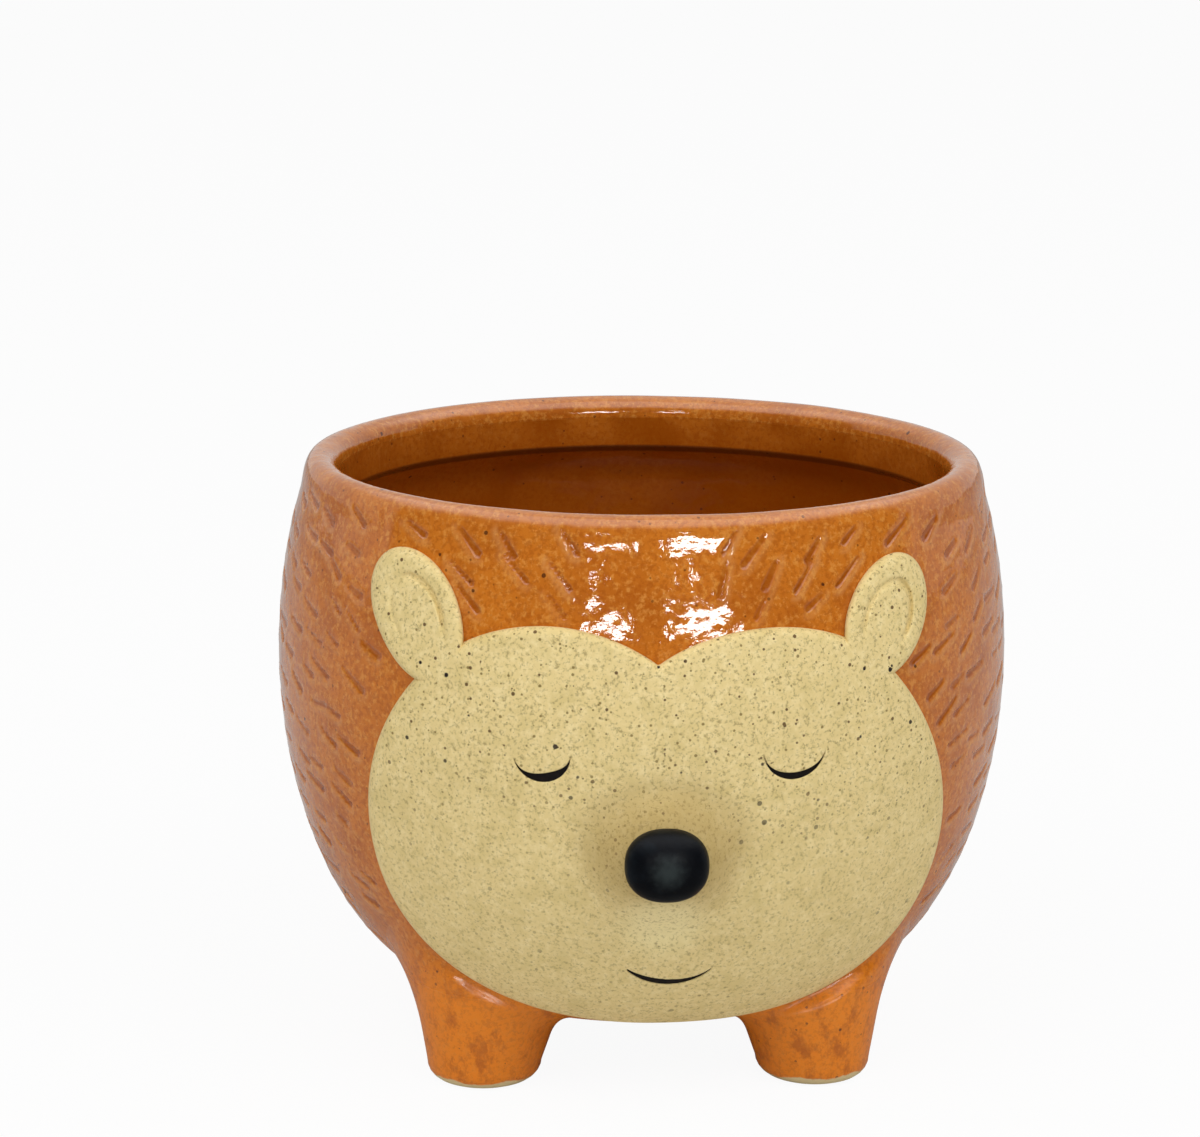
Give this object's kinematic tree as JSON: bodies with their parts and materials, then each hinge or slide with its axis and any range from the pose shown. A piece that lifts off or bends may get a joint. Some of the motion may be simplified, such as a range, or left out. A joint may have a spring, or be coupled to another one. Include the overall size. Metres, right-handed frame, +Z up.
{
  "type": "animal shaped planter",
  "caption": "Round glazed stoneware planter on short feet, with a raised animal face, ears and nose on the front and a drain plug inside.",
  "frame": {"origin": "on the standing surface, under the middle of the object's box; the pot's own axis is 6.8 mm behind it, at y = 0.0068", "axes": "+Z up out of the mouth, the face looks along -Y, +X is the side of the piece names with right"},
  "size_m": [0.148, 0.1616, 0.1203],
  "materials": {
    "amber_glaze": "gloss",
    "speckled_clay": "matte",
    "black_nose_glaze": "satin",
    "dark_slip": "satin",
    "plug_rubber": "matte"
  },
  "bodies": {
    "planter": {"pot_body": "amber_glaze", "face_relief": "speckled_clay", "ear_left": "speckled_clay", "ear_right": "speckled_clay", "nose": "black_nose_glaze", "eye_left": "dark_slip", "eye_right": "dark_slip", "mouth": "dark_slip", "foot_front_left": "amber_glaze", "foot_front_right": "amber_glaze", "foot_rear_left": "amber_glaze", "foot_rear_right": "amber_glaze"},
    "plug": {"drain_plug": "plug_rubber"}
  },
  "joints": [
    {"name": "plug_lift", "type": "slide", "parent": "planter", "child": "plug", "axis": [0, 0, 1], "range_m": [0, 0.12]}
  ]
}
